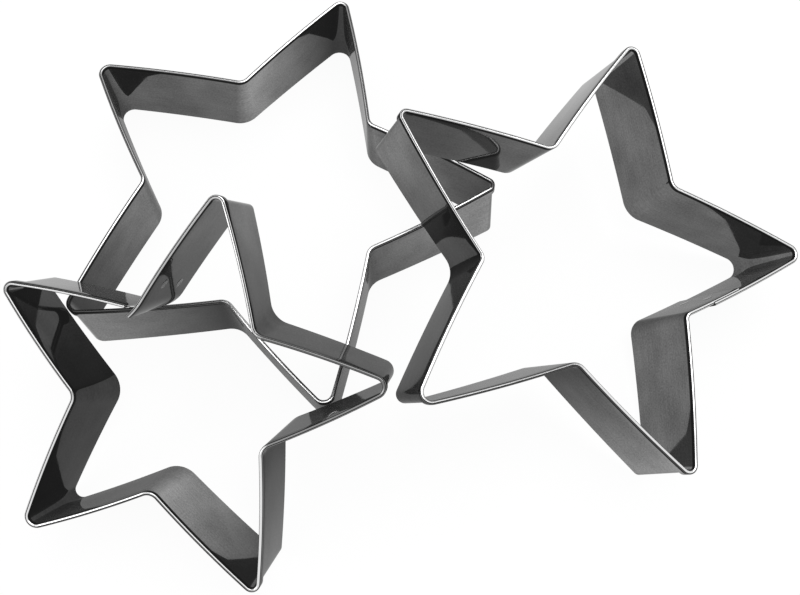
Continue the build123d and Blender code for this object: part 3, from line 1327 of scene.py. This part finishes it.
MEDIUM_LEAN = Lean(
    heading=79.8, floor_tips=(4, 2), own_side=(8, 7), own_share=0.612,
    carrier_side=(2, 3), carrier_share=0.6,
)
SMALL_LEAN = Lean(
    heading=3.7, floor_tips=(6, 4), own_side=(8, 9), own_share=0.284,
    carrier_side=(7, 6), carrier_share=0.803,
)

# Side by side: painted light and shade of the faces, painted shade that dims the mirror, and
# painted highlights along the fold
DIM_PAINTED_FACES = (PaintedShading.DIM, PaintedShading.DIM)
SLIGHT_MIRROR_SHADE = (PaintedMirrorShade.THIN, PaintedMirrorShade.THIN)
DEEP_MIRROR_SHADE = (PaintedMirrorShade.THICK, PaintedMirrorShade.THICK)
SOFT_CROWN_HIGHLIGHT = (Line.SOFT, Line.SOFT)
FAINT_CROWN_HIGHLIGHT = (Line.FAINT, Line.FAINT)
CLEAR_CROWN_HIGHLIGHT = (Line.CLEAR, Line.CLEAR)

LARGE_SHINE = Shine((
    Side(faces=DIM_PAINTED_FACES, mirror_shade=SLIGHT_MIRROR_SHADE, crown=SOFT_CROWN_HIGHLIGHT),
    Side(faces=(PaintedShading.LIGHT, PaintedShading.DIM)),
    Side(faces=(PaintedShading.BRIGHT, PaintedShading.PLAIN), crown=(Line.FULL, Line.SOFT), reach=HighlightReach.WIDE),
    Side(faces=(PaintedShading.DIM, PaintedShading.DARK), mirror_shade=(PaintedMirrorShade.THIN, PaintedMirrorShade.THICK), reach=HighlightReach.WIDE),
    Side(faces=DIM_PAINTED_FACES, mirror_shade=DEEP_MIRROR_SHADE, reach=HighlightReach.WIDE),
    Side(faces=(PaintedShading.DARK, PaintedShading.BRIGHT), crown=FAINT_CROWN_HIGHLIGHT, reach=HighlightReach.WIDE),
    Side(faces=(PaintedShading.DARK, PaintedShading.LIGHT), crown=(Line.SOFT, Line.FULL)),
    Side(faces=DIM_PAINTED_FACES, mirror_shade=DEEP_MIRROR_SHADE, crown=SOFT_CROWN_HIGHLIGHT),
    Side(crown=SOFT_CROWN_HIGHLIGHT),
    Side(faces=(PaintedShading.BRIGHT, PaintedShading.DARK), ridge=Line.CLEAR),
))
MEDIUM_SHINE = Shine((
    Side(crown=CLEAR_CROWN_HIGHLIGHT),
    Side(ridge=Line.FULL),
    Side(faces=(PaintedShading.PLAIN, PaintedShading.DIM), mirror_shade=SLIGHT_MIRROR_SHADE, ridge=Line.FULL),
    Side(crown=(Line.FULL, Line.CLEAR), ridge=Line.CLEAR),
    Side(faces=(PaintedShading.BRIGHT, PaintedShading.DIM), ridge=Line.FAINT, reach=HighlightReach.WIDE),
    Side(faces=DIM_PAINTED_FACES, mirror_shade=(PaintedMirrorShade.THIN, PaintedMirrorShade.THICK), crown=SOFT_CROWN_HIGHLIGHT, ridge=Line.FAINT),
    Side(faces=DIM_PAINTED_FACES, mirror_shade=(PaintedMirrorShade.THIN, PaintedMirrorShade.NONE), reach=HighlightReach.WIDE),
    Side(faces=(PaintedShading.DIM, PaintedShading.LIGHT), ridge=Line.FULL),
    Side(faces=(PaintedShading.DIM, PaintedShading.PLAIN), crown=(Line.CLEAR, Line.FULL), ridge=Line.CLEAR),
    Side(faces=(PaintedShading.BRIGHT, PaintedShading.BRIGHT), ridge=Line.FAINT, reach=HighlightReach.WIDE),
))
SMALL_SHINE = Shine((
    Side(faces=(PaintedShading.LIGHT, PaintedShading.DIM), mirror_shade=(PaintedMirrorShade.NONE, PaintedMirrorShade.THIN), ridge=Line.FULL),
    Side(faces=DIM_PAINTED_FACES, mirror_shade=SLIGHT_MIRROR_SHADE, crown=FAINT_CROWN_HIGHLIGHT, reach=HighlightReach.WIDE),
    Side(faces=(PaintedShading.DARK, PaintedShading.DIM), mirror_shade=(PaintedMirrorShade.THICK, PaintedMirrorShade.THIN), crown=SOFT_CROWN_HIGHLIGHT),
    Side(faces=(PaintedShading.DARK, PaintedShading.PLAIN), mirror_shade=(PaintedMirrorShade.THIN, PaintedMirrorShade.NONE), reach=HighlightReach.WIDE),
    Side(faces=(PaintedShading.DIM, PaintedShading.BRIGHT), crown=SOFT_CROWN_HIGHLIGHT, ridge=Line.FAINT),
    Side(faces=(PaintedShading.DIM, PaintedShading.DARK), mirror_shade=DEEP_MIRROR_SHADE, ridge=Line.FAINT),
    Side(faces=(PaintedShading.DARK, PaintedShading.DARK), ridge=Line.FULL),
    Side(faces=(PaintedShading.DARK, PaintedShading.DIM), crown=SOFT_CROWN_HIGHLIGHT, ridge=Line.FULL),
    Side(faces=(PaintedShading.BRIGHT, PaintedShading.DARK), mirror_shade=(PaintedMirrorShade.NONE, PaintedMirrorShade.THIN), ridge=Line.FAINT),
    Side(faces=(PaintedShading.DIM, PaintedShading.PLAIN), crown=CLEAR_CROWN_HIGHLIGHT, ridge=Line.CLEAR),
))


def centring(own_strip: bpy.types.Object) -> Matrix:
    """Sideways move from the large star's own centre to the shared frame.

    Args:
        own_strip: The large cutter's strip, in its own plane.

    Returns:
        The move that puts it where its CAD node is.
    """
    low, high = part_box("large_strip")

    # The first and the seventh corner of the box are opposite each other
    corners = [Vector(corner) for corner in own_strip.bound_box]
    own_middle = (corners[0] + corners[6]) / 2
    shift = (low + high) / 2 - own_middle
    return Matrix.Translation(Vector((shift.x, shift.y, 0.0)))


def main() -> None:
    """Builds the studio and the three cutters."""
    logging.basicConfig(level=logging.INFO, format="%(name)s: %(message)s")
    Studio().build()
    stock = StripStock()
    sweep = StripSweep(stock)
    steel = PolishedSteel().make("polished_steel")
    weld_steel = WeldSteel().make("weld_steel")
    large = StarCutter("large", LARGE_FORM, LARGE_ROUTE, stock, LARGE_SHINE)
    medium = StarCutter("medium", MEDIUM_FORM, MEDIUM_ROUTE, stock, MEDIUM_SHINE)
    small = StarCutter("small", SMALL_FORM, SMALL_ROUTE, stock, SMALL_SHINE)

    measured = large.make_strip(sweep, steel)
    move = centring(measured)
    bpy.data.objects.remove(measured)
    carrier = LARGE_FORM.rim(stock)
    places = {
        "large": move,
        "medium": move @ MEDIUM_LEAN.place(medium.paths()[0], carrier, stock),
        "small": move @ SMALL_LEAN.place(small.paths()[0], carrier, stock),
    }
    for cutter in (large, medium, small):
        for piece in cutter.build(sweep, steel, weld_steel, places[cutter.name]):
            log.info("%s: %d faces", piece.name, len(piece.data.polygons))


if __name__ == "__main__":
    main()
